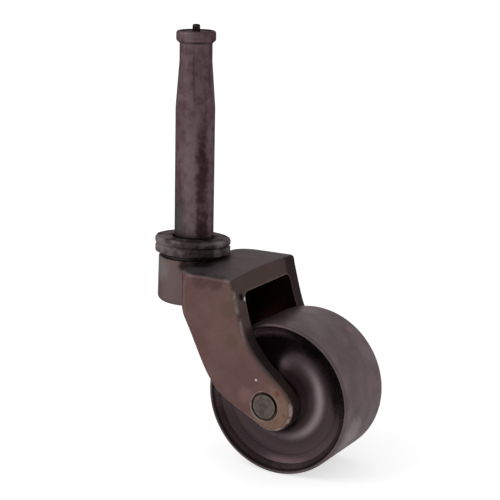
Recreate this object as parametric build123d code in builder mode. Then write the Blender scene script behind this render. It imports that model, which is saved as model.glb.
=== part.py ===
"""Small swivel castor: a cast horn with a solid wheel, turning on a pin inside a necked leg socket.

Frame, in millimetres: the origin lies on the swivel axis in the plane of the leg's underside,
+Z runs up the stem, +X points to the rear, where the wheel trails, and Y runs along the axle.
"""
import math
import os

from build123d import *

# Wheel
wheel_dia = 31.75
wheel_width = 17.2
tread_round = 0.5
lip_width = 1.9
lip_depth = 1.7
trough_r = 10.6
trough_depth = 2.9
hub_dia = 9.8
hub_rise = 0.6
hub_flare = 0.6

# Axle rivet and the washers beside the hub
axle_dia = 4.2
axle_trail = 25.1
axle_drop = 29.9
axle_fit = 0.02
wheel_fit = 0.06
rivet_head_dia = 4.9
rivet_head_height = 0.65
rivet_head_dome = 0.15
rivet_proud = 0.2
head_recess_dia = 5.8
recess_edge_break = 0.2
side_washer_dia = 8.6
side_washer_t = 0.7
side_play = 0.05

# Horn, the cast fork
cheek_t = 4.0
cheek_draft = 1.4
top_drop = 4.95
top_crown = 0.5
top_plate_t = 3.2
top_edge_round = 0.9
front_x = 3.5
front_corner_r = 4.5
front_straight = 2.5
rear_x = 17.0
rear_lean = 8.5
boss_back_wall = 0.6
web_straight = 5.3
web_foot_angle = 150
web_clearance = 1.9
cheek_end_r = 4.85
cheek_end_back = 1.3
cheek_end_drop = 0.2
front_tangent_angle = 240
rear_tangent_angle = 44
outer_edge_round = 1.0
gap_corner_round = 1.5
pad_dia = 9.6
pad_rise = 0.38

# Where a cheek's edge passes between its top and its rounded end: shares of its run back and down
front_sweep = [(0.115, 0.26), (0.259, 0.482), (0.493, 0.773)]
rear_sweep = [(0.10, 0.25), (0.318, 0.60)]

# Nose boss, round the swivel axis
boss_dia = 15.2
boss_draft = 1.2
boss_depth = 9.8
boss_top_rise = 0.15
boss_top_round = 0.4
boss_bottom_round = 1.1

# Swivel pin
pin_fit = 0.07
spigot_dia = 5.2
spigot_fit = 0.03
foot_dia = 7.6
foot_sink_depth = 1.2
foot_proud = 0.5
groove_end_play = 0.3
pin_head_dia = 6.1
pin_head_cone = 0.6
pin_head_dome = 0.7
pin_head_drop = 0.18
pin_tip_dia = 1.6
pin_tip_rise = 1.3
pin_tip_round = 0.4

# Leg socket, a rolled sleeve necked in near its top
sleeve_dia = 8.26
sleeve_wall = 0.7
barrel_length = 27.0
foot_step = 0.18
neck_dia = 6.82
neck_bottom = 36.6
neck_length = 3.6
neck_play = 0.15
lip_flare = 0.6
lip_height = 2.0
lip_dia = 8.24
lip_wall = 0.75
lip_round = 0.6
seam_width = 0.35
seam_angle = 119

# Collar, which sits loose and askew on the foot of the sleeve
collar_height = 3.1
collar_bore = 8.9
collar_tilt = 3.4
collar_lean_angle = 69
collar_shift = 0.14
collar_shift_angle = 209
collar_top_round = 1.2
collar_bottom_round = 0.2
collar_skirt = 0.5
collar_room = 0.45
collar_seat_gap = 0.05

# Thrust washer between the collar and the horn
thrust_washer_dia = 14.3
thrust_washer_t = 1.0
thrust_washer_round = 0.15
thrust_washer_play = 0.02
foot_play = 0.05

# Worked out from the sizes above
wheel_r = wheel_dia / 2
half_wheel = wheel_width / 2
hub_face = half_wheel + hub_rise
pad_face = hub_face + side_washer_t + 2 * side_play
crown_z = top_crown - top_drop
gap_top_z = -top_drop - top_plate_t
half_gap = pad_face + pad_rise - (axle_drop + gap_top_z) * math.tan(math.radians(cheek_draft))
half_horn = half_gap + cheek_t
gap_depth = axle_drop + 2 * cheek_end_r + gap_top_z
cut_reach = 3 * axle_trail
boss_r = boss_dia / 2
gap_front_x = boss_r + boss_back_wall
boss_top_z = crown_z + boss_top_rise
boss_bottom_z = boss_top_z - boss_depth
washer_bottom_z = boss_top_z + thrust_washer_play
washer_top_z = washer_bottom_z + thrust_washer_t
hollow_r = thrust_washer_dia / 2 + collar_room
collar_r = hollow_r + collar_skirt
sleeve_r = sleeve_dia / 2
sleeve_bore_r = sleeve_r - sleeve_wall
sleeve_foot_z = washer_top_z + foot_play
neck_r = neck_dia / 2
neck_bore_r = neck_r - sleeve_wall
neck_top = neck_bottom + neck_length
lip_r = lip_dia / 2
lip_bottom = neck_top + lip_flare
sleeve_top = lip_bottom + lip_height
pin_r = sleeve_bore_r - pin_fit
axle_r = axle_dia / 2
head_seat = half_horn + rivet_proud - rivet_head_height
axle_centre = (axle_trail, 0, -axle_drop)
axle_axis = Axis(axle_centre, (0, 1, 0))
axle_plan = Plane(origin=axle_centre, x_dir=(1, 0, 0), z_dir=(0, 0, 1))

os.makedirs("parts", exist_ok=True)


def save(builder, label):
    """Label a finished piece and write it to its own file."""
    builder.part.label = label
    export_step(builder.part, f"parts/{label}.step")


def side_plane(y):
    """Give the upright plane at y that faces the +Y side, centred on the axle."""
    return Plane(origin=(axle_trail, y, -axle_drop), x_dir=(-1, 0, 0), z_dir=(0, 1, 0))


def heading(angle):
    """Give the direction, in a sketch, that lies at an angle in degrees from its first axis."""
    return Vector(1, 0).rotate(Axis.Z, angle)


# Wheel: one turned casting, dished on both faces, with a plain bore
with BuildPart() as wheel:
    with BuildSketch(axle_plan):
        with BuildLine():
            bore_r = axle_r + wheel_fit
            hub_r = hub_dia / 2
            tread_end = (wheel_r, half_wheel - tread_round)
            lip_top = (wheel_r - tread_round, half_wheel)
            lip_foot = (wheel_r - lip_width, half_wheel - lip_depth)
            trough = (trough_r, half_wheel - trough_depth)
            hub_foot = (hub_r + hub_flare, half_wheel - hub_flare)
            Line((bore_r, 0), (wheel_r, 0))
            Line((wheel_r, 0), tread_end)
            CenterArc((wheel_r - tread_round, half_wheel - tread_round), tread_round, 0, 90)
            Line(lip_top, lip_foot)
            dish = ThreePointArc(lip_foot, trough, hub_foot)
            TangentArc(hub_foot, (hub_r, hub_face), tangent=dish % 1)
            Line((hub_r, hub_face), (bore_r, hub_face))
            Line((bore_r, hub_face), (bore_r, 0))
        make_face()
    revolve(axis=axle_axis)
    mirror(about=Plane.XZ)

save(wheel, "wheel")

# Axle: a plain rivet with a low domed head formed at each end
with BuildPart() as axle:
    with BuildSketch(axle_plan):
        with BuildLine():
            head_r = rivet_head_dia / 2
            head_edge = head_seat + rivet_head_height - rivet_head_dome
            head_top = head_seat + rivet_head_height
            Polyline((0, 0), (axle_r, 0), (axle_r, head_seat), (head_r, head_seat), (head_r, head_edge))
            dome_r = (head_r**2 + rivet_head_dome**2) / (2 * rivet_head_dome)
            RadiusArc((head_r, head_edge), (0, head_top), -dome_r)
            Line((0, head_top), (0, 0))
        make_face()
    revolve(axis=axle_axis)
    mirror(about=Plane.XZ)

save(axle, "axle_rivet")

# Side washers: one each side, between the hub and the pad inside the cheek
for side, label in ((-1, "near_side_washer"), (1, "far_side_washer")):
    with BuildPart() as side_washer:
        with BuildSketch(side_plane(side * (hub_face + side_play))):
            Circle(side_washer_dia / 2)
            Circle(axle_r + wheel_fit, mode=Mode.SUBTRACT)
        extrude(amount=side * side_washer_t)
    save(side_washer, label)

# The space between the cheeks: drafted sides, round top corners, and a web left at the front
with BuildPart() as fork_gap:
    with BuildSketch(Plane(origin=(0, 0, gap_top_z), x_dir=(1, 0, 0), z_dir=(0, 0, -1))):
        Rectangle(cut_reach, 2 * half_gap, align=(Align.MIN, Align.CENTER))
    extrude(amount=gap_depth, taper=-cheek_draft)
    with BuildSketch(Plane.XZ):
        with BuildLine():
            web_foot = Vector(axle_trail, -axle_drop) + heading(web_foot_angle) * (wheel_r + web_clearance)
            web_bend = (gap_front_x, gap_top_z - web_straight)
            Polyline((-boss_r, gap_top_z), (gap_front_x, gap_top_z), web_bend, web_foot,
                     (-boss_r, web_foot.Y), close=True)
        make_face()
    extrude(amount=2 * half_horn, both=True, mode=Mode.SUBTRACT)
    fillet(fork_gap.faces().sort_by(Axis.Z)[-1].edges(), radius=gap_corner_round)

# The hole for the axle: a plain bore through both cheeks, opened out at each end for the head
with BuildPart() as axle_hole:
    with BuildSketch(axle_plan):
        hole_r = axle_r + axle_fit
        recess_r = head_recess_dia / 2
        rim_r = recess_r + recess_edge_break
        Polygon((0, 0), (hole_r, 0), (hole_r, head_seat), (recess_r, head_seat),
                (recess_r, half_horn - recess_edge_break), (rim_r, half_horn), (rim_r, 2 * half_horn),
                (0, 2 * half_horn), align=None)
    revolve(axis=axle_axis)
    mirror(about=Plane.XZ)

# Horn: swept cheeks under a crowned top, cast in one with the nose boss
with BuildPart() as horn:
    end_centre = Vector(axle_trail + cheek_end_back, -axle_drop - cheek_end_drop)
    top_front = Vector(front_x, crown_z)
    top_rear = Vector(rear_x, crown_z)
    front_start = Vector(front_x, -top_drop - front_straight)
    front_end = end_centre + heading(front_tangent_angle) * cheek_end_r
    rear_end = end_centre + heading(rear_tangent_angle) * cheek_end_r
    front_run = front_end - front_start
    rear_run = rear_end - top_rear
    front_points = [front_start + Vector(front_run.X * back, front_run.Y * down)
                    for back, down in front_sweep]
    rear_points = [top_rear + Vector(rear_run.X * back, rear_run.Y * down) for back, down in rear_sweep]
    with BuildSketch(Plane.XZ):
        with BuildLine():
            Line(top_rear, top_front)
            Line(top_front, front_start)
            Spline(front_start, *front_points, front_end,
                   tangents=[heading(-90), heading(front_tangent_angle + 90)])
            sweep = 360 + rear_tangent_angle - front_tangent_angle
            CenterArc(end_centre, cheek_end_r, front_tangent_angle, sweep)
            Spline(rear_end, *reversed(rear_points), top_rear,
                   tangents=[heading(rear_tangent_angle + 90), heading(90 + rear_lean)])
        make_face()
    extrude(amount=half_horn, both=True)
    for cheek_side in horn.faces().filter_by(Axis.Y):
        fillet(cheek_side.edges().sort_by(Axis.Z)[:-1], radius=outer_edge_round)

    with BuildSketch(Plane.YZ):
        with BuildLine():
            ThreePointArc((-half_horn, -top_drop), (0, crown_z), (half_horn, -top_drop))
            Polyline((half_horn, -top_drop), (cut_reach, -top_drop), (cut_reach, axle_drop),
                     (-cut_reach, axle_drop), (-cut_reach, -top_drop), (-half_horn, -top_drop))
        make_face()
    extrude(amount=cut_reach, both=True, mode=Mode.SUBTRACT)
    with BuildSketch(Plane.XY):
        with Locations((front_x + front_corner_r, 0)):
            Rectangle(2 * front_corner_r, 4 * half_horn, align=(Align.MAX, Align.CENTER))
            Rectangle(2 * front_corner_r, 2 * (half_horn - front_corner_r), align=(Align.MAX, Align.CENTER),
                      mode=Mode.SUBTRACT)
        with Locations((front_x + front_corner_r, half_horn - front_corner_r),
                       (front_x + front_corner_r, front_corner_r - half_horn)):
            Circle(front_corner_r, mode=Mode.SUBTRACT)
    extrude(amount=cut_reach, both=True, mode=Mode.SUBTRACT)
    fillet(horn.faces().sort_by(Axis.Z)[-1].edges(), radius=top_edge_round)
    add(fork_gap.part, mode=Mode.SUBTRACT)

    with BuildSketch(Plane.XZ):
        with BuildLine():
            top_r = boss_r - boss_depth * math.tan(math.radians(boss_draft))
            boss_outline = [(0, boss_top_z), (top_r, boss_top_z), (boss_r, boss_bottom_z), (0, boss_bottom_z)]
            FilletPolyline(*boss_outline, radius=[boss_top_round, boss_bottom_round])
            Line(boss_outline[-1], boss_outline[0])
        make_face()
    revolve(axis=Axis.Z)

    for side in (-1, 1):
        with BuildSketch(side_plane(side * pad_face)):
            Circle(pad_dia / 2)
        extrude(amount=side * cheek_t / 2)
    add(axle_hole.part, mode=Mode.SUBTRACT)

    with BuildSketch(Plane.XY.offset(boss_bottom_z)):
        Circle(spigot_dia / 2 + spigot_fit)
    extrude(amount=2 * boss_depth, mode=Mode.SUBTRACT)
    with BuildSketch(Plane.XZ):
        sink_r = foot_dia / 2 + spigot_fit
        sink_top_r = spigot_dia / 2 + spigot_fit
        sink_top = boss_bottom_z + foot_sink_depth
        Polygon((0, boss_bottom_z), (sink_r, boss_bottom_z), (sink_top_r, sink_top), (0, sink_top),
                align=None)
    revolve(axis=Axis.Z, mode=Mode.SUBTRACT)

save(horn, "horn")

# Swivel pin: a turned shank with a neck groove and a pip left at its tip, peened into the boss
with BuildPart() as swivel_pin:
    with BuildSketch(Plane.XZ):
        with BuildLine():
            spigot_r = spigot_dia / 2
            foot_r = foot_dia / 2
            groove_r = neck_bore_r - neck_play
            pin_head_r = pin_head_dia / 2
            tip_r = pin_tip_dia / 2
            groove_top = neck_top + groove_end_play
            head_side_z = groove_top + pin_head_cone
            head_top_z = sleeve_top - pin_head_drop
            head_edge_z = head_top_z - pin_head_dome
            tip_z = sleeve_top + pin_tip_rise
            tip_edge = (tip_r, tip_z - pin_tip_round)
            foot_rim = (foot_r, boss_bottom_z)
            foot_crown = (0, boss_bottom_z - foot_proud)
            foot_dome_r = (foot_r**2 + foot_proud**2) / (2 * foot_proud)
            RadiusArc(foot_crown, foot_rim, -foot_dome_r)
            Polyline(foot_rim, (spigot_r, boss_bottom_z + foot_sink_depth), (spigot_r, boss_top_z),
                     (pin_r, boss_top_z), (pin_r, barrel_length), (groove_r, neck_bottom),
                     (groove_r, groove_top), (pin_head_r, head_side_z), (pin_head_r, head_edge_z))
            Spline((pin_head_r, head_edge_z), (tip_r, head_top_z), tangents=[(0, 1), (-1, 0)])
            Line((tip_r, head_top_z), tip_edge)
            Spline(tip_edge, (0, tip_z), tangents=[(0, 1), (-1, 0)])
            Line((0, tip_z), foot_crown)
        make_face()
    revolve(axis=Axis.Z)

save(swivel_pin, "swivel_pin")

# Thrust washer: a loose disc between the collar and the boss
with BuildPart() as thrust_washer:
    with BuildSketch(Plane.XY.offset(washer_bottom_z)):
        Circle(thrust_washer_dia / 2)
        Circle(pin_r + pin_fit, mode=Mode.SUBTRACT)
    extrude(amount=thrust_washer_t)
    rims = thrust_washer.edges().filter_by(GeomType.CIRCLE).group_by(SortBy.RADIUS)[-1]
    fillet(rims, radius=thrust_washer_round)

save(thrust_washer, "thrust_washer")

# Sleeve: rolled from strip, so a seam runs its whole length; the neck springs into the pin's groove
with BuildPart() as leg_sleeve:
    with BuildSketch(Plane.XZ):
        with BuildLine():
            sleeve_foot_r = sleeve_r - foot_step
            lip_bore_r = lip_r - lip_wall
            Polyline((sleeve_bore_r, sleeve_foot_z), (sleeve_foot_r, sleeve_foot_z), (sleeve_foot_r, 0),
                     (sleeve_r, 0), (sleeve_r, barrel_length), (neck_r, neck_bottom), (neck_r, neck_top))
            FilletPolyline((neck_r, neck_top), (lip_r, lip_bottom), (lip_r, sleeve_top),
                           (lip_bore_r, sleeve_top), radius=[lip_round, lip_round])
            Polyline((lip_bore_r, sleeve_top), (lip_bore_r, lip_bottom), (neck_bore_r, neck_top),
                     (neck_bore_r, neck_bottom), (sleeve_bore_r, barrel_length),
                     (sleeve_bore_r, sleeve_foot_z))
        make_face()
    revolve(axis=Axis.Z)
    seam_plane = Plane(origin=(0, 0, sleeve_foot_z)).rotated((0, 0, seam_angle))
    with BuildSketch(seam_plane):
        Rectangle(2 * lip_r, seam_width, align=(Align.MIN, Align.CENTER))
    extrude(amount=2 * sleeve_top, mode=Mode.SUBTRACT)

save(leg_sleeve, "leg_sleeve")

# Collar: a heavy ring with a rounded rim, hollow underneath, leaning to one side on the sleeve's foot
tilt = math.radians(collar_tilt)
lean = math.radians(collar_lean_angle)
slip = math.radians(collar_shift_angle)
collar_up = Vector(math.sin(tilt) * math.cos(lean), math.sin(tilt) * math.sin(lean), math.cos(tilt))
collar_side = Vector(-math.sin(lean), math.cos(lean), 0)
collar_top_z = -(collar_r - collar_top_round) * math.sin(tilt)
collar_centre = Vector(collar_shift * math.cos(slip), collar_shift * math.sin(slip), collar_top_z)
collar_plane = Plane(origin=collar_centre, x_dir=collar_side, z_dir=collar_side.cross(collar_up))
with BuildPart() as socket_collar:
    with BuildSketch(collar_plane):
        with BuildLine():
            bore = collar_bore / 2
            washer_drop = collar_top_z - washer_top_z - collar_seat_gap
            roof = thrust_washer_dia / 2 * math.sin(tilt) - washer_drop
            FilletPolyline((bore, 0), (collar_r, 0), (collar_r, -collar_height), (hollow_r, -collar_height),
                           radius=[collar_top_round, collar_bottom_round])
            Polyline((hollow_r, -collar_height), (hollow_r, roof), (bore, roof), (bore, 0))
        make_face()
    revolve(axis=Axis(collar_centre, collar_up))

save(socket_collar, "socket_collar")
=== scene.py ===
"""Dress the small swivel castor: dark antiqued brass, with dull steel for the rivet, pin and washers.

All lengths are in metres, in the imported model's frame: the origin is on the swivel axis in the plane of the
leg's underside, +Z runs up the stem, the wheel trails towards +X and the axle runs along Y.
"""
from __future__ import annotations

import logging
import math
from dataclasses import dataclass
from enum import Enum
from typing import ClassVar

import bmesh
import bpy
from mathutils import Matrix, Vector, noise


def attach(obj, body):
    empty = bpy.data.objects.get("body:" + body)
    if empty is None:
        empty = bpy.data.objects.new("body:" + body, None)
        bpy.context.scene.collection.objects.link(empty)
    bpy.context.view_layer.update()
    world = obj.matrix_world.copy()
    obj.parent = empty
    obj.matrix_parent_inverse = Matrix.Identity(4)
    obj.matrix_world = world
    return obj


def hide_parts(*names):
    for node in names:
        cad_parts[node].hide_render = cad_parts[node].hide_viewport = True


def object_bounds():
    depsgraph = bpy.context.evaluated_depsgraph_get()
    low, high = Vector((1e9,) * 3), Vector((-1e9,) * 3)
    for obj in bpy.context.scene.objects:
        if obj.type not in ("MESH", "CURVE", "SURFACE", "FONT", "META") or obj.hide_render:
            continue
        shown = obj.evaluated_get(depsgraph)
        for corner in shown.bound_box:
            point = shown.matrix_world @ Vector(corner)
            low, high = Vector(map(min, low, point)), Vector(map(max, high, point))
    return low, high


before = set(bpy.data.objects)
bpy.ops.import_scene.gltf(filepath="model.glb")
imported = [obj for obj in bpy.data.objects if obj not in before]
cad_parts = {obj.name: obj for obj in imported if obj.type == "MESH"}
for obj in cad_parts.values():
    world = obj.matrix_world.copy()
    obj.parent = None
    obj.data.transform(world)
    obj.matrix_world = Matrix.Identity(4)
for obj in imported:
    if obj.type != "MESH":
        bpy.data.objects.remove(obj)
cad_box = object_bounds()

MM = 0.001
AXLE = Vector((25.1, 0.0, -29.9)) * MM
LOG = logging.getLogger("castor")

Colour = tuple[float, float, float, float]
Triple = tuple[float, float, float]
Span = tuple[float, float]
Socket = bpy.types.NodeSocket
Outputs = bpy.types.NodeOutputs


def tone(red: int, green: int, blue: int) -> Colour:
    """Turn a colour as a screen shows it, 0 to 255, into the linear colour that shaders take.

    Args:
        red: Red part, 0 to 255.
        green: Green part, 0 to 255.
        blue: Blue part, 0 to 255.

    Returns:
        The linear colour, with an alpha of 1.
    """
    parts = [part / 255 for part in (red, green, blue)]
    linear = [part / 12.92 if part <= 0.04045 else ((part + 0.055) / 1.055) ** 2.4 for part in parts]
    return (*linear, 1.0)


def mm(x: float, y: float, z: float) -> Triple:
    """Turn a point in millimetres into one in metres."""
    return (x * MM, y * MM, z * MM)


@dataclass(frozen=True)
class Graph:
    """The nodes of one shader tree, laid and wired by short calls.

    Attributes:
        tree: The tree that is filled, a material's, the world's or a group's.
    """

    tree: bpy.types.NodeTree

    def node(self, kind: str, **settings: object) -> bpy.types.Node:
        """Add a node.

        Args:
            kind: The node's type, as bpy names it.
            **settings: Properties to set on the node.

        Returns:
            The new node.
        """
        made = self.tree.nodes.new(kind)
        for name, value in settings.items():
            setattr(made, name, value)
        return made

    def feed(self, socket: Socket, value: object) -> None:
        """Give an input socket its value, which is another socket or a constant.

        Args:
            socket: The input socket.
            value: A socket to link from, or a number, colour or vector.
        """
        if isinstance(value, Socket):
            self.tree.links.new(value, socket)
        else:
            socket.default_value = value

    def math(self, operation: str, *values: object) -> Socket:
        """Add a Math node.

        Args:
            operation: The node's operation.
            *values: Its inputs, in order.

        Returns:
            The result socket.
        """
        made = self.node("ShaderNodeMath", operation=operation)
        for socket, value in zip(made.inputs, values):
            self.feed(socket, value)
        return made.outputs[0]

    def product(self, *values: object) -> Socket:
        """Multiply values.

        Args:
            *values: The values.

        Returns:
            Their product.
        """
        result = values[0]
        for value in values[1:]:
            result = self.math("MULTIPLY", result, value)
        return result

    def vector(self, operation: str, *values: object) -> bpy.types.Node:
        """Add a Vector Math node.

        Args:
            operation: The node's operation.
            *values: Its vector inputs, in order.

        Returns:
            The node, whose result is its Vector or its Value socket.
        """
        made = self.node("ShaderNodeVectorMath", operation=operation)
        for socket, value in zip(made.inputs, values):
            self.feed(socket, value)
        return made

    def along(self, vector: object, way: object) -> Socket:
        """Give how far a vector reaches along a way, or how alike two directions are."""
        return self.vector("DOT_PRODUCT", vector, way).outputs["Value"]

    def split(self, vector: object) -> Outputs:
        """Give a vector's X, Y and Z."""
        made = self.node("ShaderNodeSeparateXYZ")
        self.feed(made.inputs[0], vector)
        return made.outputs

    def span(self, value: object, low: object, high: object) -> Socket:
        """Stretch a range of a value to 0 and 1 with soft ends.

        Args:
            value: The value to stretch.
            low: What becomes 0.
            high: What becomes 1.

        Returns:
            The stretched value.
        """
        made = self.node("ShaderNodeMapRange", interpolation_type="SMOOTHSTEP")
        self.feed(made.inputs["Value"], value)
        self.feed(made.inputs["From Min"], low)
        self.feed(made.inputs["From Max"], high)
        return made.outputs["Result"]

    def between(self, value: object, low: object, high: object, soft: object) -> Socket:
        """Mark where a value lies between two limits.

        Args:
            value: The value.
            low: The lower limit.
            high: The upper limit.
            soft: How far each limit is softened to either side.

        Returns:
            1 between the limits and 0 beyond them.
        """
        back = self.math("MULTIPLY", soft, -1.0)
        rise = self.span(self.math("SUBTRACT", value, low), back, soft)
        fall = self.span(self.math("SUBTRACT", value, high), soft, back)
        return self.product(rise, fall)

    def tint(self, colour: object, mask: object, other: object, strength: float = 1.0) -> Socket:
        """Lay another colour over a colour.

        Args:
            colour: The colour underneath.
            mask: Where the other colour lies, 0 to 1.
            other: The colour on top.
            strength: How much it covers at most, 0 to 1.

        Returns:
            The colour with the other laid over it.
        """
        made = self.node("ShaderNodeMix", data_type="RGBA")
        self.feed(made.inputs["Factor"], mask if strength == 1.0 else self.product(mask, strength))
        under, over, mixed = made.inputs[6], made.inputs[7], made.outputs[2]  # the node's colour sockets
        self.feed(under, colour)
        self.feed(over, other)
        return mixed

    def noise(self, where: object, scale: object, detail: float = 3.0, rough: float = 0.5) -> Socket:
        """Add a noise texture.

        Args:
            where: The coordinates.
            scale: Cells to a metre of those coordinates.
            detail: Octaves of finer noise.
            rough: Weight of the finer octaves.

        Returns:
            The noise, 0 to 1.
        """
        made = self.node("ShaderNodeTexNoise")
        self.feed(made.inputs["Vector"], where)
        self.feed(made.inputs["Scale"], scale)
        made.inputs["Detail"].default_value = detail
        made.inputs["Roughness"].default_value = rough
        return made.outputs["Fac"]

    def place(self) -> Socket:
        """Give the point being shaded, in the part's own frame."""
        return self.node("ShaderNodeTexCoord").outputs["Object"]

    def facing(self) -> Socket:
        """Give the way the surface faces, in the part's own frame."""
        return self.node("ShaderNodeTexCoord").outputs["Normal"]


@dataclass(frozen=True)
class Port:
    """One socket of an effect group.

    Attributes:
        name: The socket's name.
        kind: The socket's type, as bpy names it.
        value: The value an input has where a material sets none.
    """

    name: str
    kind: str = "NodeSocketFloat"
    value: object = 0.0


WHERE = Port("Where", "NodeSocketVector", (0, 0, 0))


class Effect:
    """A shared shader effect: a node group made once and placed in each material that uses it.

    Attributes:
        name: The group's name.
        inputs: Its inputs.
        output: The name of what it puts out.
    """

    name = "effect"
    inputs: tuple[Port, ...] = ()
    output = "Mask"

    def group(self) -> bpy.types.NodeTree:
        """Give the effect's node group, and make it the first time."""
        kept = bpy.data.node_groups.get(self.name)
        if kept:
            return kept
        tree = bpy.data.node_groups.new(self.name, "ShaderNodeTree")
        for port in self.inputs:
            socket = tree.interface.new_socket(port.name, in_out="INPUT", socket_type=port.kind)
            socket.default_value = port.value
        tree.interface.new_socket(self.output, in_out="OUTPUT", socket_type="NodeSocketFloat")
        graph = Graph(tree)
        entry = graph.node("NodeGroupInput")
        leave = graph.node("NodeGroupOutput")
        graph.feed(leave.inputs[self.output], self.lay(graph, entry.outputs))
        return tree

    def lay(self, graph: Graph, given: Outputs) -> Socket:
        """Lay the group's nodes.

        Args:
            graph: The group's tree.
            given: The group's inputs.

        Returns:
            The socket that the group puts out.
        """
        raise NotImplementedError

    def use(self, graph: Graph, **values: object) -> Socket:
        """Place the effect in a material.

        Args:
            graph: The material's tree.
            **values: Inputs by name.

        Returns:
            What the effect puts out.
        """
        made = graph.node("ShaderNodeGroup", node_tree=self.group())
        for name, value in values.items():
            graph.feed(made.inputs[name], value)
        return made.outputs[0]


class Mottle(Effect):
    """Cloudy change from place to place, as a patina has."""

    name = "mottle"
    inputs = (WHERE, Port("Patches", value=90.0), Port("Low", value=0.35), Port("High", value=0.65))

    def lay(self, graph: Graph, given: Outputs) -> Socket:
        """Stretch broad noise that is broken by finer octaves."""
        broad = graph.noise(given["Where"], given["Patches"], 5.0, 0.6)
        return graph.span(broad, given["Low"], given["High"])


class EdgeRub(Effect):
    """Where handling has rubbed the finish off an outer edge."""

    name = "edge_rub"
    inputs = (WHERE, Port("Width", value=0.5 * MM))

    def lay(self, graph: Graph, given: Outputs) -> Socket:
        """Compare the normal with one rounded over the edge, keep outer edges, and break the band up."""
        rounded = graph.node("ShaderNodeBevel", samples=6)
        graph.feed(rounded.inputs["Radius"], given["Width"])
        flat = graph.node("ShaderNodeNewGeometry").outputs["Normal"]
        turned = graph.math("SUBTRACT", 1.0, graph.along(rounded.outputs[0], flat))
        air = graph.node("ShaderNodeAmbientOcclusion", samples=6)
        graph.feed(air.inputs["Distance"], given["Width"])
        outer = graph.span(air.outputs["AO"], 0.7, 0.95)
        grit = graph.noise(given["Where"], 900.0)
        broken = graph.math("MULTIPLY_ADD", grit, 0.1, turned)
        return graph.product(graph.span(broken, 0.06, 0.16), outer)


class CornerShadeAndDirt(Effect):
    """Painted shade and dirt together, in inner corners and under what stands proud."""

    name = "corner_shade_and_dirt"
    inputs = (Port("Reach", value=2 * MM),)

    def lay(self, graph: Graph, given: Outputs) -> Socket:
        """Turn closeness to other surfaces into a mask."""
        shade = graph.node("ShaderNodeAmbientOcclusion", samples=8)
        graph.feed(shade.inputs["Distance"], given["Reach"])
        return graph.span(shade.outputs["AO"], 0.95, 0.3)


class Spot(Effect):
    """A patch about one place, with a ragged rim."""

    name = "spot"
    inputs = (WHERE, Port("Centre", "NodeSocketVector", (0, 0, 0)), Port("Radius", value=2 * MM),
              Port("Ragged", value=0.5))

    def lay(self, graph: Graph, given: Outputs) -> Socket:
        """Fall off with distance, pushed in and out by noise."""
        apart = graph.vector("DISTANCE", given["Where"], given["Centre"]).outputs["Value"]
        share = graph.math("DIVIDE", apart, given["Radius"])
        push = graph.math("SUBTRACT", graph.noise(given["Where"], 700.0, 4.0, 0.6), 0.5)
        return graph.span(graph.math("MULTIPLY_ADD", push, given["Ragged"], share), 1.1, 0.35)


class Slab(Effect):
    """A soft-edged layer across one direction, between two distances from the origin."""

    name = "slab"
    inputs = (WHERE, Port("Across", "NodeSocketVector", (0, 0, 1)), Port("From"), Port("To", value=1.0),
              Port("Soft", value=0.2 * MM))

    def lay(self, graph: Graph, given: Outputs) -> Socket:
        """Measure along the direction and mark what lies between the two distances."""
        along = graph.along(given["Where"], given["Across"])
        return graph.between(along, given["From"], given["To"], given["Soft"])


class AxisDistance(Effect):
    """Distance from a line, such as the axle or the swivel axis."""

    name = "axis_distance"
    inputs = (WHERE, Port("Through", "NodeSocketVector", (0, 0, 0)),
              Port("Keep", "NodeSocketVector", (1, 1, 0)))
    output = "Distance"

    def lay(self, graph: Graph, given: Outputs) -> Socket:
        """Drop the part along the line and measure the rest."""
        off = graph.vector("SUBTRACT", given["Where"], given["Through"]).outputs["Vector"]
        flat = graph.vector("MULTIPLY", off, given["Keep"]).outputs["Vector"]
        return graph.vector("LENGTH", flat).outputs["Value"]


class Ring(Effect):
    """A band between two radii with soft edges."""

    name = "ring"
    inputs = (Port("Radius"), Port("Inner", value=-1.0), Port("Outer", value=1.0),
              Port("Soft", value=0.2 * MM))

    def lay(self, graph: Graph, given: Outputs) -> Socket:
        """Mark what lies between the two radii."""
        return graph.between(given["Radius"], given["Inner"], given["Outer"], given["Soft"])


class ToolMarks(Effect):
    """Fine rings that a lathe leaves about an axis."""

    name = "tool_marks"
    inputs = (Port("Radius"), Port("Along"), Port("Pitch", value=0.12 * MM))
    output = "Height"

    def lay(self, graph: Graph, given: Outputs) -> Socket:
        """Draw noise along the radius and the axis only."""
        where = graph.node("ShaderNodeCombineXYZ")
        graph.feed(where.inputs["X"], given["Radius"])
        graph.feed(where.inputs["Z"], given["Along"])
        scale = graph.math("DIVIDE", 1.0, given["Pitch"])
        return graph.noise(where.outputs["Vector"], scale, 2.0, 0.6)


class MetalSkin(Effect):
    """The height of a metal's surface: fine grain, broader unevenness and a few pits."""

    name = "metal_skin"
    inputs = (WHERE, Port("Grain", value=4000.0), Port("Waves", value=260.0), Port("Pits", value=0.3))
    output = "Height"

    def lay(self, graph: Graph, given: Outputs) -> Socket:
        """Add up grain, waves and pits."""
        fine = graph.noise(given["Where"], given["Grain"], 4.0)
        broad = graph.noise(given["Where"], given["Waves"])
        cells = graph.node("ShaderNodeTexVoronoi")
        graph.feed(cells.inputs["Vector"], given["Where"])
        cells.inputs["Scale"].default_value = 900.0
        pit = graph.product(graph.span(cells.outputs["Distance"], 0.28, 0.05), given["Pits"])
        relief = graph.math("MULTIPLY_ADD", fine, 0.35, broad)
        return graph.math("SUBTRACT", relief, pit)


class Surface(Enum):
    """How a piece's surface was made, with its grain, waves and pits."""

    CAST = (2600.0, 300.0, 0.35)
    ROLLED = (3600.0, 160.0, 0.12)
    TURNED = (5200.0, 120.0, 0.08)


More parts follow.
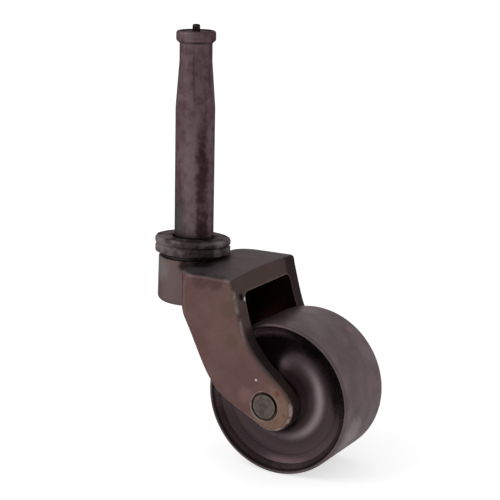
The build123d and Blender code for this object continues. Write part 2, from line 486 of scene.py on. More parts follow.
@dataclass(frozen=True)
class Mark:
    """One rub, stain or nick that the photograph shows, or a painted shadow, highlight, glint or reflection.

    Attributes:
        centre: Its place.
        radius: Its radius.
        colour: Its colour.
        strength: How much it covers, 0 to 1.
        ragged: How ragged its rim is.
    """

    centre: Triple
    radius: float
    colour: Colour
    strength: float = 1.0
    ragged: float = 0.6


def from_axle(graph: Graph, where: Socket) -> Socket:
    """Give how far a point is from the axle's line."""
    return AxisDistance().use(graph, Where=where, Through=AXLE, Keep=(1, 0, 1))


@dataclass(frozen=True)
class Finish:
    """A dark aged metal finish.

    Attributes:
        name: The material's name.
        base: The finish where nothing has touched it.
        light: The finish where it has thinned.
        shade_and_dirt_colour: The colour painted into inner corners as shade and dirt together.
        worn: The metal where it is rubbed bare.
        surface: How the surface was made.
        metallic: How much it reflects as metal.
        roughness: Its roughness where nothing has touched it.
        edge_tint: How strongly it mirrors at a flat angle.
        relief: Height of the surface's unevenness.
        patches: Patches of thinned finish to a metre.
        rub_width: How wide a rubbed edge is.
        rub: How strongly edges are rubbed, 0 to 1.
        reach: How far the painted shade and dirt spread from a corner.
        shade_and_dirt_strength: How strongly the painted shade and dirt cover the finish there, 0 to 1.
        smear: How far the roughness varies from place to place.
        marks: Marks of the piece's own.
    """

    name: str
    base: Colour
    light: Colour
    shade_and_dirt_colour: Colour
    worn: Colour
    surface: Surface
    metallic: float = 0.9
    roughness: float = 0.48
    edge_tint: Colour = (0.35, 0.33, 0.33, 1.0)
    relief: float = 0.02 * MM
    patches: float = 120.0
    rub_width: float = 0.45 * MM
    rub: float = 0.6
    reach: float = 1.6 * MM
    shade_and_dirt_strength: float = 0.85
    smear: float = 0.12
    marks: tuple[Mark, ...] = ()

    def material(self) -> bpy.types.Material:
        """Make the finish's material."""
        made = bpy.data.materials.new(self.name)
        made.use_nodes = True
        graph = Graph(made.node_tree)
        shader = made.node_tree.nodes["Principled BSDF"]
        where = graph.place()
        thinned = Mottle().use(graph, Where=where, Patches=self.patches)
        colour = self.zones(graph, where, graph.tint(self.base, thinned, self.light))
        # Painted shade and dirt: darker where other surfaces close in, in inner corners and under what stands
        # proud.
        colour = graph.tint(colour, CornerShadeAndDirt().use(graph, Reach=self.reach), self.shade_and_dirt_colour, self.shade_and_dirt_strength)
        rubbed = graph.product(EdgeRub().use(graph, Where=where, Width=self.rub_width), self.rub)
        colour = graph.tint(colour, rubbed, self.worn)
        for mark in self.marks:
            spot = Spot().use(graph, Where=where, Centre=mark.centre, Radius=mark.radius, Ragged=mark.ragged)
            colour = graph.tint(colour, spot, mark.colour, mark.strength)
        bump = graph.node("ShaderNodeBump")
        bump.inputs["Distance"].default_value = self.relief
        graph.feed(bump.inputs["Height"], self.height(graph, where))
        smear = Mottle().use(graph, Where=where, Patches=2.3 * self.patches, Low=0.3, High=0.7)
        roughness = graph.math("MULTIPLY_ADD", smear, self.smear, self.gloss(graph, where))
        roughness = graph.math("MULTIPLY_ADD", rubbed, -self.smear, roughness)
        graph.feed(shader.inputs["Base Color"], colour)
        graph.feed(shader.inputs["Roughness"], roughness)
        graph.feed(shader.inputs["Normal"], bump.outputs["Normal"])
        shader.inputs["Metallic"].default_value = self.metallic
        shader.inputs["Specular Tint"].default_value = self.edge_tint
        shader.inputs["Specular IOR Level"].default_value = 0.3
        return made

    def zones(self, graph: Graph, where: Socket, colour: Socket) -> Socket:
        """Lay colour zones of the piece's own. A plain finish has none.

        Args:
            graph: The material's tree.
            where: The point being shaded.
            colour: The colour so far.

        Returns:
            The colour with the zones in it.
        """
        return colour

    def gloss(self, graph: Graph, where: Socket) -> float | Socket:
        """Give the roughness before smears and rubbing."""
        return self.roughness - self.smear / 2

    def height(self, graph: Graph, where: Socket) -> Socket:
        """Give the surface's unevenness."""
        grain, waves, pits = self.surface.value
        return MetalSkin().use(graph, Where=where, Grain=grain, Waves=waves, Pits=pits)


@dataclass(frozen=True)
class HornFinish(Finish):
    """The cast horn's finish: reddish flanks, a top greyed by painted sheen, painted shade on the faces that
    look back and between the cheeks, and a lighter, greyer boss.

    Attributes:
        top: Painted sheen on the faces that look up, where they mirror the pale surroundings and show greyer.
        rear: Painted shade on the faces that look back.
        far_rear: Deeper painted shade on the back of the far cheek.
        inside: Painted shade between the cheeks.
        boss: The finish on the nose boss.
        brass: The warm metal round the rivet, where the finish is rubbed thin.
        edge: The pale colour on the rounded outer edges of the cheeks, the rim of the rivet's recess and the
            front corners, painted highlight and rubbed metal together.
        boss_radius: Radius that takes in the boss.
        boss_top: Height of the boss's flank at its top.
        far_cheek: Where the painted shade on the far cheek's back starts and is full, along Y.
        inner_face: Half the gap between the cheeks.
        inside_top: Height of the crown's underside.
        inside_run: Where the inside begins and ends behind the stem.
        tip_way: The way from the stem to the cheeks' rounded ends.
        tip_from: How far along that way the worn ends begin.
        tip_soft: How gradually they begin.
        rivet_rub: Inner and outer radius of the warm metal round the rivet.
        recess_rub: Inner and outer radius of the bright rim of the rivet's recess.
        outer_edge: Where the cheeks' outer edges begin and are full, from the middle.
        corner_way: The way the rounded front corners face where their painted highlight lies, on either side.
        corner_run: Where those corners lie behind the stem.
        corner_drop: The heights between which their painted highlight runs.
        corner_side: Where their painted highlight begins and is full, from the middle.
    """

    top: Colour = tone(114, 105, 107)
    rear: Colour = tone(88, 74, 73)
    far_rear: Colour = tone(50, 42, 44)
    inside: Colour = tone(52, 30, 26)
    boss: Colour = tone(116, 99, 97)
    brass: Colour = tone(138, 112, 94)
    edge: Colour = tone(176, 157, 151)
    boss_radius: float = 7.75 * MM
    boss_top: float = -4.7 * MM
    far_cheek: Span = (8.5 * MM, 9.5 * MM)
    inner_face: float = 9.7 * MM
    inside_top: float = -8.0 * MM
    inside_run: Span = (8.0 * MM, 16.6 * MM)
    tip_way: Triple = (0.94, 0.0, -0.34)
    tip_from: float = 33.2 * MM
    tip_soft: float = 2.4 * MM
    rivet_rub: Span = (2.7 * MM, 5.4 * MM)
    recess_rub: Span = (2.9 * MM, 3.25 * MM)
    outer_edge: Span = (12.7 * MM, 13.5 * MM)
    corner_way: Triple = (0.86, 0.51, 0.0)
    corner_run: Span = (2.0 * MM, 7.0 * MM)
    corner_drop: Span = (-11.0 * MM, -5.6 * MM)
    corner_side: Span = (11.4 * MM, 12.1 * MM)

    def zones(self, graph: Graph, where: Socket, colour: Socket) -> Socket:
        """Lay the top's painted sheen, painted shade on the rear faces, the boss, the worn ends, the edges'
        painted highlights and rubs, and painted shade between the cheeks.
        """
        faces = graph.split(graph.facing())
        # Painted sheen on the faces that look up; painted shade on the faces that look back, deeper on the
        # far cheek's back.
        colour = graph.tint(colour, graph.span(faces["Z"], 0.3, 0.85), self.top)
        back = graph.span(faces["X"], 0.25, 0.8)
        colour = graph.tint(colour, back, self.rear)
        far = graph.span(graph.split(where)["Y"], *self.far_cheek)
        colour = graph.tint(colour, graph.product(back, far), self.far_rear, 0.8)
        from_stem = AxisDistance().use(graph, Where=where)
        boss = Ring().use(graph, Radius=from_stem, Outer=self.boss_radius, Soft=0.1 * MM)
        low = Slab().use(graph, Where=where, From=-1.0, To=self.boss_top)
        colour = graph.tint(colour, graph.product(boss, low), self.boss)
        axle_out = from_axle(graph, where)
        tip = Slab().use(graph, Where=where, Across=self.tip_way, From=self.tip_from, Soft=self.tip_soft)
        ring = Ring().use(graph, Radius=axle_out, Inner=self.rivet_rub[0], Outer=self.rivet_rub[1],
                          Soft=0.9 * MM)
        grain = Mottle().use(graph, Where=where, Patches=500.0, Low=0.2, High=0.6)
        colour = graph.tint(colour, graph.product(ring, tip, grain), self.brass, 0.9)
        recess = Ring().use(graph, Radius=axle_out, Inner=self.recess_rub[0], Outer=self.recess_rub[1],
                            Soft=0.15 * MM)
        # Painted highlights and rubs together on the outer edges, the recess rim and the front corners,
        # broken up by mottle.
        much = graph.math("MULTIPLY_ADD", tip, 0.25, 0.75)
        edges = graph.product(self.outer_edge_highlight_and_wear(graph, where), much)
        rubbed = graph.math("MAXIMUM", edges, graph.product(recess, 0.9))
        rubbed = graph.math("MAXIMUM", rubbed, self.front_corner_highlight(graph, where))
        touched = Mottle().use(graph, Where=where, Patches=330.0, Low=0.36, High=0.6)
        colour = graph.tint(colour, graph.product(rubbed, touched), self.edge)
        # Painted shade between the cheeks.
        return graph.tint(colour, self.between_cheeks(graph, where), self.inside)

    def from_middle(self, graph: Graph, where: Socket, limits: Span) -> Socket:
        """Mark what lies further from the middle than the limits, on either side."""
        return graph.span(graph.math("ABSOLUTE", graph.split(where)["Y"]), *limits)

    def outer_edge_highlight_and_wear(self, graph: Graph, where: Socket) -> Socket:
        """Mark the rounded outer edges of the cheeks, but not the top's, for their painted highlight and rub.

        Args:
            graph: The material's tree.
            where: The point being shaded.

        Returns:
            The mask.
        """
        faces = graph.split(graph.facing())
        side = self.from_middle(graph, where, self.outer_edge)
        turned = graph.span(graph.math("ABSOLUTE", faces["Y"]), 0.97, 0.75)
        return graph.product(side, turned, graph.span(faces["Z"], 0.5, 0.1))

    def front_corner_highlight(self, graph: Graph, where: Socket) -> Socket:
        """Mark the thin painted highlight down the cheeks' rounded front corners.

        Args:
            graph: The material's tree.
            where: The point being shaded.

        Returns:
            The mask.
        """
        outward = graph.vector("ABSOLUTE", graph.facing()).outputs["Vector"]
        corner = graph.span(graph.along(outward, self.corner_way), 0.982, 0.998)
        front = Slab().use(graph, Where=where, Across=(1, 0, 0), From=self.corner_run[0],
                           To=self.corner_run[1])
        tall = Slab().use(graph, Where=where, From=self.corner_drop[0], To=self.corner_drop[1],
                          Soft=1.4 * MM)
        return graph.product(corner, front, tall, self.from_middle(graph, where, self.corner_side))

    def between_cheeks(self, graph: Graph, where: Socket) -> Socket:
        """Mark the cheeks' inner faces and the hollow under the crown, which take painted shade.

        Args:
            graph: The material's tree.
            where: The point being shaded.

        Returns:
            The mask.
        """
        side = graph.math("SIGN", graph.split(where)["Y"])
        inward = graph.product(side, graph.split(graph.facing())["Y"])
        inner = graph.span(inward, -0.3, -0.7)
        middle = Slab().use(graph, Where=where, Across=(0, 1, 0), From=-self.inner_face, To=self.inner_face)
        below = Slab().use(graph, Where=where, From=-1.0, To=self.inside_top, Soft=0.15 * MM)
        run = Slab().use(graph, Where=where, Across=(1, 0, 0), From=self.inside_run[0],
                         To=self.inside_run[1])
        return graph.math("MAXIMUM", inner, graph.product(middle, below, run))


@dataclass(frozen=True)
class WheelFinish(Finish):
    """The wheel's finish: darker in the dish, lighter on the tread, with a lathe's fine rings, a painted
    highlight band and painted shade by the rim and round the hub.

    Attributes:
        dish: The finish in the dish.
        turned: The darker rings that turning left in the dish.
        dish_highlight: The painted highlight band on the hub's flank.
        slope: The finish on the slope between the rim and the dish.
        step: Painted shade just inside the rim and round the hub.
        dish_gloss: The dish's roughness.
        ring_pitch: How far apart the darker rings lie.
        rim_radius: Where the rim's inner slope starts.
        dish_radius: Where that slope ends in the dish.
        hub_radius: How far from the axle the painted shade round the hub reaches.
        band: Inner and outer radius of the painted highlight band.
        dish_highlight_way: The way from the axle to the band's brightest part.
        dish_highlight_run: Where along that way the band begins to brighten and is brightest.
    """

    dish: Colour = tone(76, 62, 66)
    turned: Colour = tone(56, 42, 44)
    dish_highlight: Colour = tone(154, 138, 142)
    slope: Colour = tone(100, 86, 90)
    step: Colour = tone(22, 10, 12)
    dish_gloss: float = 0.24
    ring_pitch: float = 1.1 * MM
    rim_radius: float = 15.1 * MM
    dish_radius: float = 13.95 * MM
    hub_radius: float = 6.9 * MM
    band: Span = (8.0 * MM, 9.2 * MM)
    dish_highlight_way: Triple = (0.966, 0.0, -0.26)
    dish_highlight_run: Span = (1.0 * MM, 8.0 * MM)

    def zones(self, graph: Graph, where: Socket, colour: Socket) -> Socket:
        """Lay the dish with its rings and painted highlight band, the rim's slope, and painted shade in the
        two corners.
        """
        radius = from_axle(graph, where)
        dish = Ring().use(graph, Radius=radius, Outer=self.rim_radius)
        colour = graph.tint(colour, dish, self.dish)
        rings = ToolMarks().use(graph, Radius=radius, Pitch=self.ring_pitch)
        colour = graph.tint(colour, graph.product(graph.span(rings, 0.45, 0.7), dish), self.turned, 0.6)
        # Painted highlight: a bright band on the hub's flank, brightest towards the rear and below.
        band = Ring().use(graph, Radius=radius, Inner=self.band[0], Outer=self.band[1], Soft=0.9 * MM)
        towards = graph.along(graph.vector("SUBTRACT", where, AXLE).outputs["Vector"], self.dish_highlight_way)
        bright = graph.math("MULTIPLY_ADD", graph.span(towards, *self.dish_highlight_run), 0.8, 0.15)
        colour = graph.tint(colour, graph.product(band, bright), self.dish_highlight)
        slope = Ring().use(graph, Radius=radius, Inner=self.dish_radius, Outer=self.rim_radius - 0.2 * MM,
                           Soft=0.12 * MM)
        colour = graph.tint(colour, slope, self.slope)
        # Painted shade just inside the rim and round the hub.
        corner = Ring().use(graph, Radius=radius, Inner=self.rim_radius - 0.25 * MM,
                            Outer=self.rim_radius + 0.2 * MM)
        hub = Ring().use(graph, Radius=radius, Outer=self.hub_radius, Soft=1.2 * MM)
        return graph.tint(colour, graph.math("MAXIMUM", corner, hub), self.step, 0.75)

    def gloss(self, graph: Graph, where: Socket) -> Socket:
        """Make the dish glossier than the tread."""
        dish = Ring().use(graph, Radius=from_axle(graph, where), Outer=self.rim_radius)
        return graph.math("MULTIPLY_ADD", dish, self.dish_gloss - self.roughness,
                          super().gloss(graph, where))

    def height(self, graph: Graph, where: Socket) -> Socket:
        """Add the lathe's rings to the grain."""
        rings = ToolMarks().use(graph, Radius=from_axle(graph, where), Along=graph.split(where)["Y"])
        return graph.math("MULTIPLY_ADD", rings, 0.5, super().height(graph, where))


@dataclass(frozen=True)
class SleeveFinish(Finish):
    """The rolled sleeve's finish: faint long streaks, maroon stains, a painted dark reflection streak, a
    painted highlight streak and a grey foot.

    Attributes:
        streak: The colour of the painted dark reflection streak and of the faint dark long streaks.
        pale: The painted highlight streak's colour.
        stain: The stains' colour.
        foot: The foot's colour on the front near side.
        dark_reflection_way: The way the surface faces where the painted dark reflection streak lies.
        pale_highlight_way: The way the surface faces where the painted highlight streak lies.
        foot_way: The way the grey side of the foot faces.
        streak_top: How high the painted streaks reach.
        foot_top: How high the grey foot reaches.
        drawn_out: How much slower the streaks' noise changes up the stem than round it.
    """

    streak: Colour = tone(48, 28, 34)
    pale: Colour = tone(132, 116, 121)
    stain: Colour = tone(84, 56, 62)
    foot: Colour = tone(82, 80, 80)
    dark_reflection_way: Triple = (0.83, -0.56, 0.0)
    pale_highlight_way: Triple = (0.34, -0.94, 0.0)
    foot_way: Triple = (-0.5, -0.86, 0.0)
    streak_top: float = 24.0 * MM
    foot_top: float = 8.0 * MM
    drawn_out: float = 0.06

    def zones(self, graph: Graph, where: Socket, colour: Socket) -> Socket:
        """Lay long streaks and stains, then the painted highlight streak, the painted dark reflection streak
        and the grey foot.
        """
        stretched = graph.vector("MULTIPLY", where, (1.0, 1.0, self.drawn_out)).outputs["Vector"]
        thin = graph.span(graph.noise(stretched, 900.0, 3.0, 0.6), 0.4, 0.7)
        colour = graph.tint(colour, thin, self.light, 0.6)
        stains = Mottle().use(graph, Where=where, Patches=560.0, Low=0.42, High=0.66)
        colour = graph.tint(colour, stains, self.stain, 0.6)
        dark = graph.span(graph.noise(stretched, 640.0, 2.0, 0.5), 0.5, 0.3)
        colour = graph.tint(colour, dark, self.streak, 0.4)
        facing = graph.facing()
        waver = graph.math("MULTIPLY_ADD", graph.noise(where, 420.0, 4.0, 0.6), 0.3, -0.15)
        low = Slab().use(graph, Where=where, From=-1.0, To=self.streak_top, Soft=7 * MM)
        # Painted highlight streak and painted dark reflection streak, placed by the way the surface faces.
        for way, shade, much in ((self.pale_highlight_way, self.pale, 0.55), (self.dark_reflection_way, self.streak, 0.85)):
            turn = graph.math("ADD", graph.along(facing, way), waver)
            colour = graph.tint(colour, graph.product(graph.span(turn, 0.9, 1.02), low), shade, much)
        foot = Slab().use(graph, Where=where, From=-1.0, To=self.foot_top, Soft=5 * MM)
        front = graph.span(graph.along(facing, self.foot_way), 0.7, 0.97)
        return graph.tint(colour, graph.product(front, foot), self.foot, 0.7)


HORN_MARKS = (
    Mark(mm(17.94, -11.31, -8.72), 1.0 * MM, tone(30, 22, 22), 0.9),
    # Painted glints on two nicks.
    Mark(mm(18.13, -9.96, -9.41), 0.5 * MM, tone(235, 226, 222), 1.0, 0.2),
    Mark(mm(23.15, -13.85, -24.61), 0.32 * MM, tone(225, 212, 205), 1.0, 0.2),
    Mark(mm(27.97, -13.85, -26.70), 0.8 * MM, tone(112, 62, 60), 0.7),
    # Painted shadows: in the corner between the boss and the shoulder, and cast by the collar on the crown.
    Mark(mm(2.0, -7.2, -5.3), 1.7 * MM, tone(26, 18, 18), 0.85),
    Mark(mm(6.0, -6.4, -4.5), 3.4 * MM, tone(30, 24, 24), 0.8),
    # Painted highlight on the boss's lit near side.
    Mark(mm(-4.7, -5.9, -6.5), 3.6 * MM, tone(140, 136, 134), 0.6),
    Mark(mm(20.7, -13.85, -28.2), 2.2 * MM, tone(136, 106, 102), 0.7),
    Mark(mm(16.4, -13.85, -11.0), 2.4 * MM, tone(100, 82, 66), 0.6),
    Mark(mm(17.6, -13.85, -17.5), 1.8 * MM, tone(100, 84, 68), 0.45),
    Mark(mm(9.5, -13.6, -5.6), 2.2 * MM, tone(70, 54, 53), 0.55, 1.5),
    Mark(mm(13.5, -13.6, -5.9), 2.4 * MM, tone(70, 54, 53), 0.55, 1.5),
)

WHEEL_MARKS = (
    # Painted reflection of the pale floor on the tread's lower rear.
    Mark(mm(42.6, -3.0, -38.1), 6.2 * MM, tone(168, 154, 158), 0.8, 0.9),
    Mark(mm(34.4, 5.5, -17.1), 1.0 * MM, tone(150, 112, 120), 0.5, 1.0),
)

COLLAR_MARKS = (
    # Painted highlights on the raised lumps at the left and right.
    Mark(mm(-5.2, -6.2, -0.6), 3.4 * MM, tone(146, 136, 136), 0.75, 1.2),
    Mark(mm(7.2, -2.2, -0.4), 1.9 * MM, tone(150, 142, 142), 0.7, 1.2),
    # Painted shade beside the sleeve and towards the front and lower right.
    Mark(mm(3.4, -6.4, -1.2), 3.2 * MM, tone(46, 36, 37), 0.7, 1.0),
    Mark(mm(5.0, -2.6, -0.2), 2.6 * MM, tone(40, 28, 30), 0.7, 1.0),
    Mark(mm(6.6, -4.8, -2.6), 2.6 * MM, tone(34, 26, 26), 0.75, 0.8),
)

SOCKET_BRASS = SleeveFinish("aged_sleeve_brass", base=tone(100, 80, 85), light=tone(116, 99, 103),
                            shade_and_dirt_colour=tone(30, 18, 20), worn=tone(128, 112, 110), surface=Surface.ROLLED, rub=0.35)
COLLAR_BRASS = Finish("aged_collar_brass", base=tone(78, 66, 68), light=tone(128, 117, 118),
                      shade_and_dirt_colour=tone(22, 14, 14), worn=tone(140, 130, 126), surface=Surface.CAST,
                      relief=0.16 * MM, patches=380.0, rub=0.4, roughness=0.6, marks=COLLAR_MARKS)
HORN_BRASS = HornFinish("aged_horn_brass", base=tone(110, 83, 81), light=tone(120, 94, 89),
                        shade_and_dirt_colour=tone(30, 18, 16), worn=tone(134, 112, 104), surface=Surface.CAST,
                        relief=0.03 * MM, marks=HORN_MARKS)
WHEEL_BRASS = WheelFinish("aged_wheel_brass", base=tone(101, 85, 89), light=tone(115, 100, 103),
                          shade_and_dirt_colour=tone(24, 13, 14), worn=tone(150, 138, 138), surface=Surface.TURNED,
                          edge_tint=(0.9, 0.85, 0.85, 1.0), rub=0.4, reach=0.6 * MM, marks=WHEEL_MARKS)
RIVET_STEEL = Finish("dull_rivet_steel", base=tone(88, 78, 74), light=tone(112, 102, 96),
                     shade_and_dirt_colour=tone(26, 18, 14), worn=tone(140, 132, 120), surface=Surface.CAST,
                     relief=0.07 * MM, patches=500.0)
PIN_STEEL = Finish("dark_pin_steel", base=tone(50, 42, 42), light=tone(70, 62, 60),
                   shade_and_dirt_colour=tone(18, 14, 13), worn=tone(100, 92, 86), surface=Surface.TURNED)
WASHER_STEEL = Finish("dark_washer_steel", base=tone(50, 42, 42), light=tone(70, 62, 62),
                      shade_and_dirt_colour=tone(14, 10, 10), worn=tone(100, 92, 88), surface=Surface.ROLLED)


def put_finish(mesh: bpy.types.Mesh, finish: Finish) -> None:
    """Put a finish on a mesh.

    Args:
        mesh: The mesh.
        finish: Its finish.
    """
    mesh.materials.clear()
    mesh.materials.append(bpy.data.materials.get(finish.name) or finish.material())


def add_object(name: str, data: bpy.types.ID) -> bpy.types.Object:
    """Add an object to the scene.

    Args:
        name: Its name.
        data: Its mesh, lamp or camera.

    Returns:
        The object.
    """
    made = bpy.data.objects.new(name, data)
    bpy.context.scene.collection.objects.link(made)
    return made


class Assembly:
    """Pieces that are dressed together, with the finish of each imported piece."""

    finishes: ClassVar[dict[str, Finish]] = {}

    def dress(self) -> list[str]:
        """Dress the assembly's pieces.

        Returns:
            The names of the pieces that were dressed.
        """
        for node, finish in self.finishes.items():
            put_finish(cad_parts[node].data, finish)
        return list(self.finishes)


@dataclass
class Collar:
    """The rough collar, a ring of two soft beads with a faint groove between them, sitting askew.

    Attributes:
        radius: Outer radius.
        bore: Bore radius.
        burr: How far the bore's top edge is burred inwards.
        burr_depths: How far below the top the burr ends, is full and thins again.
        hollow: Radius of the hollow underneath.
        height: Height of the ring.
        roof: Height of the hollow's roof below the top.
        tilt: How far it leans, in degrees.
        lean: Which way it leans, in degrees round from the rear.
        slip: How far it has slipped off the axis.
        slip_way: Which way it has slipped, in degrees round from the rear.
        top_round: Rounding of the top edge.
        foot_round: Rounding of the bottom edge.
        foot_break: How far that rounding's middle lies inside the sharp corner.
        groove: Depth of the groove round its rim.
        groove_down: How far below the top the groove runs.
        groove_half: Half the groove's width.
        lumps: How uneven the casting is.
        steps: Points round the ring.
        flank_steps: Points down its outside.
    """

    radius: float = 8.1 * MM
    bore: float = 4.45 * MM
    burr: float = 0.13 * MM
    burr_depths: Triple = (0.5 * MM, 0.3 * MM, 0.1 * MM)
    hollow: float = 7.6 * MM
    height: float = 3.35 * MM
    roof: float = 2.36 * MM
    tilt: float = 3.4
    lean: float = 69.0
    slip: float = 0.14 * MM
    slip_way: float = 209.0
    top_round: float = 0.6 * MM
    foot_round: float = 0.25 * MM
    foot_break: float = 0.08 * MM
    groove: float = 0.3 * MM
    groove_down: float = 1.6 * MM
    groove_half: float = 0.24 * MM
    lumps: float = 0.3 * MM
    steps: int = 180
    flank_steps: int = 18

    def profile(self) -> list[Span]:
        """Give the ring's section from the bore's top edge round to the bore again.

        Returns:
            Radius and height pairs, in metres, with the top at 0.
        """
        lip = self.bore - self.burr
        ends, full, thins = self.burr_depths
        points = [(self.bore, -ends), (lip, -full), (lip, -thins), (self.bore, 0.0)]
        flat_end = self.radius - self.top_round
        for share in (0.3, 0.5, 0.7, 0.85, 1.0):
            points.append((self.bore + (flat_end - self.bore) * share, 0.0))
        for degrees in (75, 60, 45, 30, 15):
            angle = math.radians(degrees)
            points.append((flat_end + self.top_round * math.cos(angle),
                           self.top_round * (math.sin(angle) - 1)))
        flank = self.height - self.foot_round - self.top_round
        for step in range(self.flank_steps + 1):
            down = self.top_round + flank * step / self.flank_steps
            dip = self.groove * math.exp(-(((down - self.groove_down) / self.groove_half) ** 2))
            points.append((self.radius - dip, -down))
        points.append((self.radius - self.foot_break, -self.height + self.foot_break))
        points.append((self.radius - self.foot_round, -self.height))
        return points + [(self.hollow, -self.height), (self.hollow, -self.roof), (self.bore, -self.roof)]

    def unevenness(self, angle: float, radius: float, height: float) -> float:
        """Give how far the casting falls short of its ideal surface.

        Args:
            angle: Angle round the ring, in radians.
            radius: Radius of the point.
            height: Height of the point.

        Returns:
            The shortfall, never negative, and none in the hollow, which clears the thrust washer.
        """
        if radius <= self.hollow and height < -self.burr_depths[0]:
            return 0.0
        spot = Vector((radius * math.cos(angle), radius * math.sin(angle), height))
        broad = noise.noise(spot * 420 + Vector((3.1, 0.4, 7.7)))
        fine = noise.fractal(spot * 1500, 0.8, 2.1, 3)
        outer = min(1.0, max(0.0, (radius - self.bore - 0.5 * MM) / (2 * MM)))
        return self.lumps * outer * min(1.0, max(0.0, 0.45 + 0.75 * broad + 0.28 * fine))

    def ring(self, form: bmesh.types.BMesh, angle: float) -> list[bmesh.types.BMVert]:
        """Add the section's points at one angle, the top's pushed down and the others pushed in.

        Args:
            form: The mesh that is being built.
            angle: The angle round the ring, in radians.

        Returns:
            The points.
        """
        points = []
        for radius, height in self.profile():
            short = self.unevenness(angle, radius, height)
            on_top = height > -0.3 * MM and radius < self.radius - 0.5 * MM
            if on_top:
                height -= short
            else:
                radius -= short
            points.append(form.verts.new((radius * math.cos(angle), radius * math.sin(angle), height)))
        return points

    def seat(self) -> Matrix:
        """Give the move that leans the ring and lets its highest point touch the leg's underside."""
        tilt, lean, slip = (math.radians(value) for value in (self.tilt, self.lean, self.slip_way))
        up = Vector((math.sin(tilt) * math.cos(lean), math.sin(tilt) * math.sin(lean), math.cos(tilt)))
        side = Vector((-math.sin(lean), math.cos(lean), 0))
        turn = Matrix((side, up.cross(side), up)).transposed().to_4x4()
        top = -(self.radius - self.top_round) * math.sin(tilt)
        return Matrix.Translation((self.slip * math.cos(slip), self.slip * math.sin(slip), top)) @ turn

    def build(self) -> bpy.types.Object:
        """Build the ring's mesh in its place.

        Returns:
            The collar's object.
        """
        form = bmesh.new()
        rings = [self.ring(form, 2 * math.pi * step / self.steps) for step in range(self.steps)]
        for ring, following in zip(rings, rings[1:] + rings[:1]):
            for index in range(len(ring)):
                after = (index + 1) % len(ring)
                form.faces.new((ring[index], ring[after], following[after], following[index]))
        bmesh.ops.recalc_face_normals(form, faces=form.faces)
        form.transform(self.seat())
        mesh = bpy.data.meshes.new("collar_ring")
        form.to_mesh(mesh)
        form.free()
        mesh.shade_smooth()
        return add_object("collar_ring", mesh)


@dataclass
class LegSocket(Assembly):
    """The sleeve that goes up into the leg, and the collar at its foot.

    Attributes:
        collar: The collar's form.
    """

    finishes = {"leg_sleeve": SOCKET_BRASS}
    collar: Collar

    def dress(self) -> list[str]:
        """Put the rough collar in the plain one's place, and dress it and the sleeve."""
        collar = self.collar.build()
        put_finish(collar.data, COLLAR_BRASS)
        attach(collar, "socket")
        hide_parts("socket_collar")
        return [collar.name, *super().dress()]


class Fork(Assembly):
    """The cast horn, with the pin it swivels on and the loose washer above it."""

    finishes = {"horn": HORN_BRASS, "swivel_pin": PIN_STEEL, "thrust_washer": WASHER_STEEL}


class WheelSet(Assembly):
    """The wheel, its rivet and the washers beside the hub."""

    finishes = {"wheel": WHEEL_BRASS, "axle_rivet": RIVET_STEEL, "near_side_washer": WASHER_STEEL,
                "far_side_washer": WASHER_STEEL}


def way_to(azimuth: float, elevation: float) -> Vector:
    """Give the way from the castor to a place round it.

    Args:
        azimuth: Degrees round from the near side towards the rear.
        elevation: Degrees above the level.

    Returns:
        The direction, one unit long.
    """
    turn, rise = math.radians(azimuth), math.radians(elevation)
    return Vector((math.sin(turn) * math.cos(rise), -math.cos(turn) * math.cos(rise), math.sin(rise)))


@dataclass(frozen=True)
class Softbox:
    """A square area lamp that looks at the castor.

    Attributes:
        name: The lamp's name.
        azimuth: Where it stands, in degrees round from the near side towards the rear.
        elevation: How high it stands, in degrees.
        distance: How far off it stands.
        width: Its width.
        power: Its power, in watts.
    """

    name: str
    azimuth: float
    elevation: float
    distance: float
    width: float
    power: float

    def hang(self, target: Vector) -> None:
        """Put the lamp in the scene.

        Args:
            target: The point it looks at.
        """
        lamp = bpy.data.lights.new(self.name, "AREA")
        lamp.size = self.width
        lamp.energy = self.power
        holder = add_object(self.name, lamp)
        away = way_to(self.azimuth, self.elevation)
        holder.location = target + away * self.distance
        holder.rotation_euler = (-away).to_track_quat("-Z", "Y").to_euler()


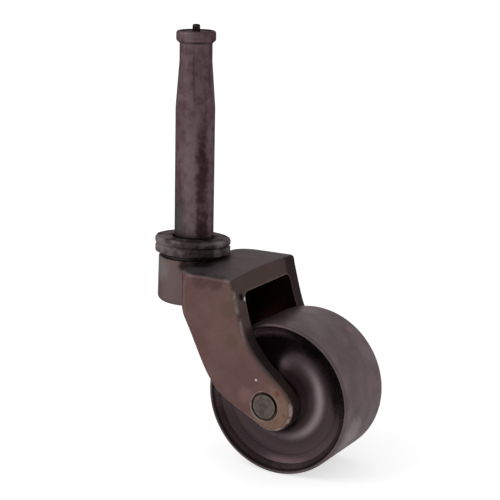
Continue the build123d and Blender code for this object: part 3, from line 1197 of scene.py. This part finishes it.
@dataclass(frozen=True)
class Studio:
    """Plain soft studio light, a white floor and backdrop, and the photograph's viewpoint.

    Attributes:
        target: The point the camera and the lamp look at.
        azimuth: Where the camera stands, in degrees round from the near side towards the rear.
        elevation: How high it stands, in degrees.
        roll: How far it is rolled, in degrees.
        distance: How far off it stands.
        lens: Its focal length, in millimetres.
        sensor: Its sensor's width, in millimetres.
        floor_span: The floor's width.
        floor_colour: The floor's colour.
        floor_glow: How brightly the floor glows to the camera, so that it shows white.
        floor_mirrored: How brightly the metal mirrors it.
        ambient: The room's light on matt surfaces.
        dim_way: The way to the room's dim side.
        dim_span: Where the room begins to dim towards that side, and where it is dimmest.
        dim_level: How bright the dim side is mirrored.
        ceiling_span: Where the room begins to dim upwards, and where it is dimmest.
        ceiling_level: How bright the ceiling is mirrored.
        lamps: The lamps.
    """

    target: Vector = Vector((13.588, 0.0, -1.763)) * MM
    azimuth: float = 28.762
    elevation: float = 13.033
    roll: float = 1.134
    distance: float = 322.51 * MM
    lens: float = 111.83
    sensor: float = 36.0
    floor_span: float = 6.0
    floor_colour: Colour = (0.82, 0.82, 0.82, 1.0)
    floor_glow: float = 0.62
    floor_mirrored: float = 0.3
    ambient: float = 0.5
    dim_way: Triple = (0.72, -0.62, 0.3)
    dim_span: Span = (-0.1, 0.8)
    dim_level: float = 0.25
    ceiling_span: Span = (0.2, 0.7)
    ceiling_level: float = 0.55
    lamps: tuple[Softbox, ...] = (
        Softbox("key", azimuth=-40, elevation=40, distance=0.6, width=0.4, power=0.7),
    )

    def seen(self, graph: Graph) -> tuple[Socket, Socket]:
        """Tell what a ray is for.

        Args:
            graph: The tree to add to.

        Returns:
            1 for the camera's own rays, and 1 for rays that metal mirrors or glass passes on.
        """
        path = graph.node("ShaderNodeLightPath")
        mirrored = graph.math("MAXIMUM", path.outputs["Is Glossy Ray"], path.outputs["Is Transmission Ray"])
        return path.outputs["Is Camera Ray"], mirrored

    def light(self) -> None:
        """Hang the lamps and set the world: white to the camera, mirrored dimmer to its right and above."""
        for lamp in self.lamps:
            lamp.hang(self.target)
        world = bpy.data.worlds.new("studio")
        world.use_nodes = True
        bpy.context.scene.world = world
        graph = Graph(world.node_tree)
        back = world.node_tree.nodes["Background"]
        back.inputs["Color"].default_value = (1.0, 1.0, 1.0, 1.0)
        camera, mirrored = self.seen(graph)
        way = graph.node("ShaderNodeTexCoord").outputs["Generated"]
        dim = graph.span(graph.along(way, self.dim_way), *self.dim_span)
        dim = graph.math("MULTIPLY_ADD", dim, self.dim_level - 1.0, 1.0)
        ceiling = graph.span(graph.split(way)["Z"], *self.ceiling_span)
        ceiling = graph.math("MULTIPLY_ADD", ceiling, self.ceiling_level - 1.0, 1.0)
        level = graph.math("MAXIMUM", camera, graph.product(mirrored, dim, ceiling))
        graph.feed(back.inputs["Strength"], graph.math("MAXIMUM", level, self.ambient))

    def lay_floor(self, height: float) -> None:
        """Lay a plain pale floor that shows white but keeps the castor's shadow.

        Args:
            height: The floor's height.
        """
        half = self.floor_span / 2
        mesh = bpy.data.meshes.new("floor")
        mesh.from_pydata([(-half, -half, 0), (half, -half, 0), (half, half, 0), (-half, half, 0)], [],
                         [(0, 1, 2, 3)])
        floor = add_object("floor", mesh)
        floor.location.z = height
        material = bpy.data.materials.new("floor_white")
        material.use_nodes = True
        graph = Graph(material.node_tree)
        shader = material.node_tree.nodes["Principled BSDF"]
        shader.inputs["Base Color"].default_value = self.floor_colour
        shader.inputs["Roughness"].default_value = 0.9
        shader.inputs["Emission Color"].default_value = (1.0, 1.0, 1.0, 1.0)
        camera, mirrored = self.seen(graph)
        glow = graph.math("MULTIPLY", camera, self.floor_glow)
        glow = graph.math("MULTIPLY_ADD", mirrored, self.floor_mirrored, glow)
        graph.feed(shader.inputs["Emission Strength"], glow)
        mesh.materials.append(material)

    def set_camera(self) -> None:
        """Put the camera where the photograph was taken from."""
        data = bpy.data.cameras.new("camera")
        data.lens = self.lens
        data.sensor_width = self.sensor
        data.clip_start = 0.01
        camera = add_object("camera", data)
        back = way_to(self.azimuth, self.elevation)
        aim = (-back).to_track_quat("-Z", "Y").to_matrix().to_4x4()
        roll = Matrix.Rotation(math.radians(self.roll), 4, "Z")
        camera.matrix_world = Matrix.Translation(self.target + back * self.distance) @ aim @ roll
        bpy.context.scene.camera = camera


def main() -> None:
    """Dress the castor, then light it and set the camera."""
    bpy.context.scene.view_settings.view_transform = "Standard"
    for assembly in (LegSocket(Collar()), Fork(), WheelSet()):
        for piece in assembly.dress():
            LOG.info("%s: dressed %s", type(assembly).__name__, piece)
    studio = Studio()
    studio.light()
    studio.lay_floor(cad_box[0].z)
    studio.set_camera()


if __name__ == "__main__":
    logging.basicConfig(level=logging.INFO, format="%(name)s %(message)s")
    main()
